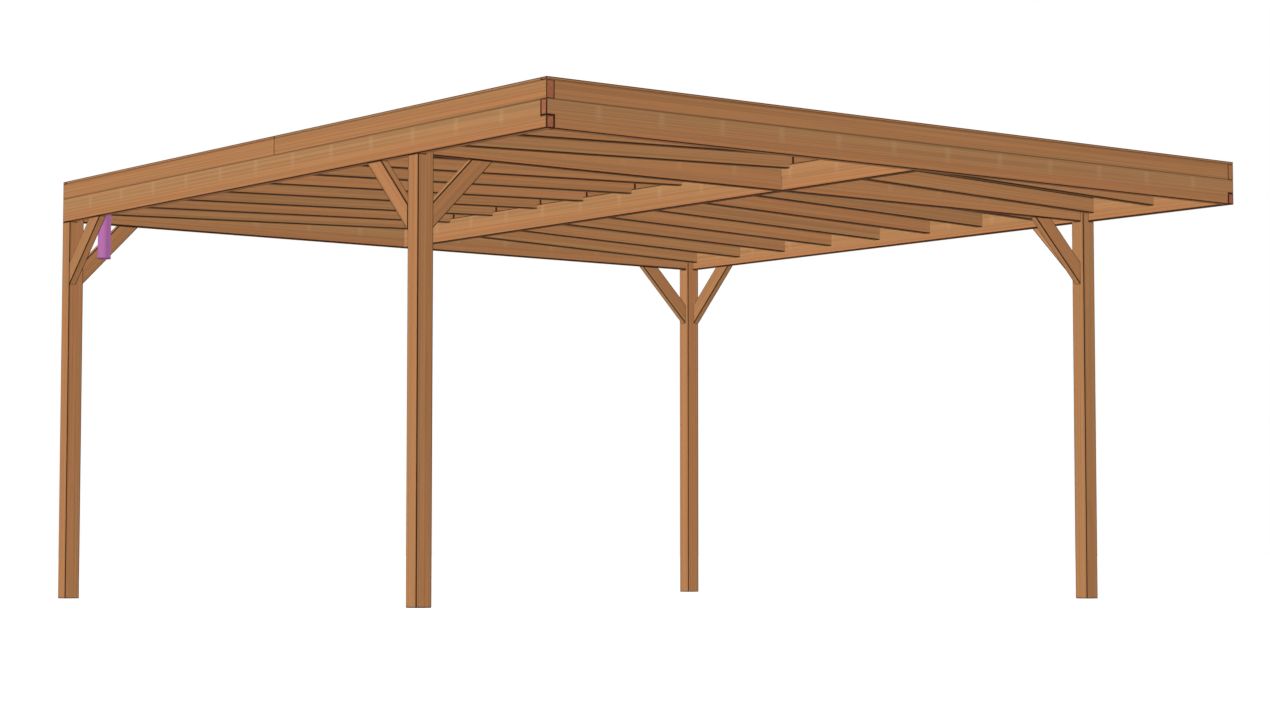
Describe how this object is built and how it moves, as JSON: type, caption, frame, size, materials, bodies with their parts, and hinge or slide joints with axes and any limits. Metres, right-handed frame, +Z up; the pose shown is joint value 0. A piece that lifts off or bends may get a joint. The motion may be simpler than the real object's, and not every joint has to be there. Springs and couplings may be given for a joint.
{
  "type": "carport",
  "caption": "Free-standing timber carport with a flat roof on corner posts with knee braces, an overhanging front, sloping joists and a drain pipe.",
  "frame": {"origin": "on the ground under the middle of the roof's outline", "axes": "+X to the right side, +Y to the back, +Z up; the overhanging side is the front, at -Y"},
  "size_m": [4.98, 5.05, 2.561],
  "materials": {
    "post_wood": "planed, oiled softwood, tan brown",
    "beam_wood": "planed, oiled softwood, yellowish brown above and redder below",
    "joist_wood": "planed, oiled softwood",
    "brace_wood": "planed, oiled softwood",
    "edge_wood": "planed, oiled softwood, reddish end grain",
    "deck_wood": "planed tongue-and-groove boards, untreated underside",
    "membrane": "matt black sheet",
    "drain_plastic": "satin purple moulded plastic"
  },
  "bodies": {
    "root": {"post_front_left": "post_wood", "post_front_right": "post_wood", "post_back_left": "post_wood", "post_back_right": "post_wood", "side_brace_front_left": "brace_wood", "side_brace_front_right": "brace_wood", "side_brace_back_left": "brace_wood", "side_brace_back_right": "brace_wood", "cross_brace_front_left": "brace_wood", "cross_brace_front_right": "brace_wood", "cross_brace_back_left": "brace_wood", "cross_brace_back_right": "brace_wood", "side_beam_left": "beam_wood", "side_beam_right": "beam_wood", "front_beam": "beam_wood", "cross_beam": "beam_wood", "back_beam": "beam_wood", "middle_beam": "beam_wood", "joist_row_1": "joist_wood", "joist_row_2": "joist_wood", "joist_row_3": "joist_wood", "joist_row_4": "joist_wood", "joist_row_5": "joist_wood", "joist_row_6": "joist_wood", "joist_row_7": "joist_wood", "joist_row_8": "joist_wood", "joist_row_9": "joist_wood", "joist_row_10": "joist_wood", "joist_row_11": "joist_wood", "edge_board_left_front": "edge_wood", "edge_board_left_back": "edge_wood", "edge_board_right_front": "edge_wood", "edge_board_right_back": "edge_wood", "edge_board_front": "edge_wood", "edge_board_back": "edge_wood", "trim_front": "edge_wood", "trim_back": "edge_wood", "side_trim_front": "edge_wood", "side_trim_back": "edge_wood", "deck_left": "deck_wood", "deck_right": "deck_wood", "membrane": "membrane", "roof_outlet": "drain_plastic", "drain_pipe": "drain_plastic"}
  },
  "joints": []
}
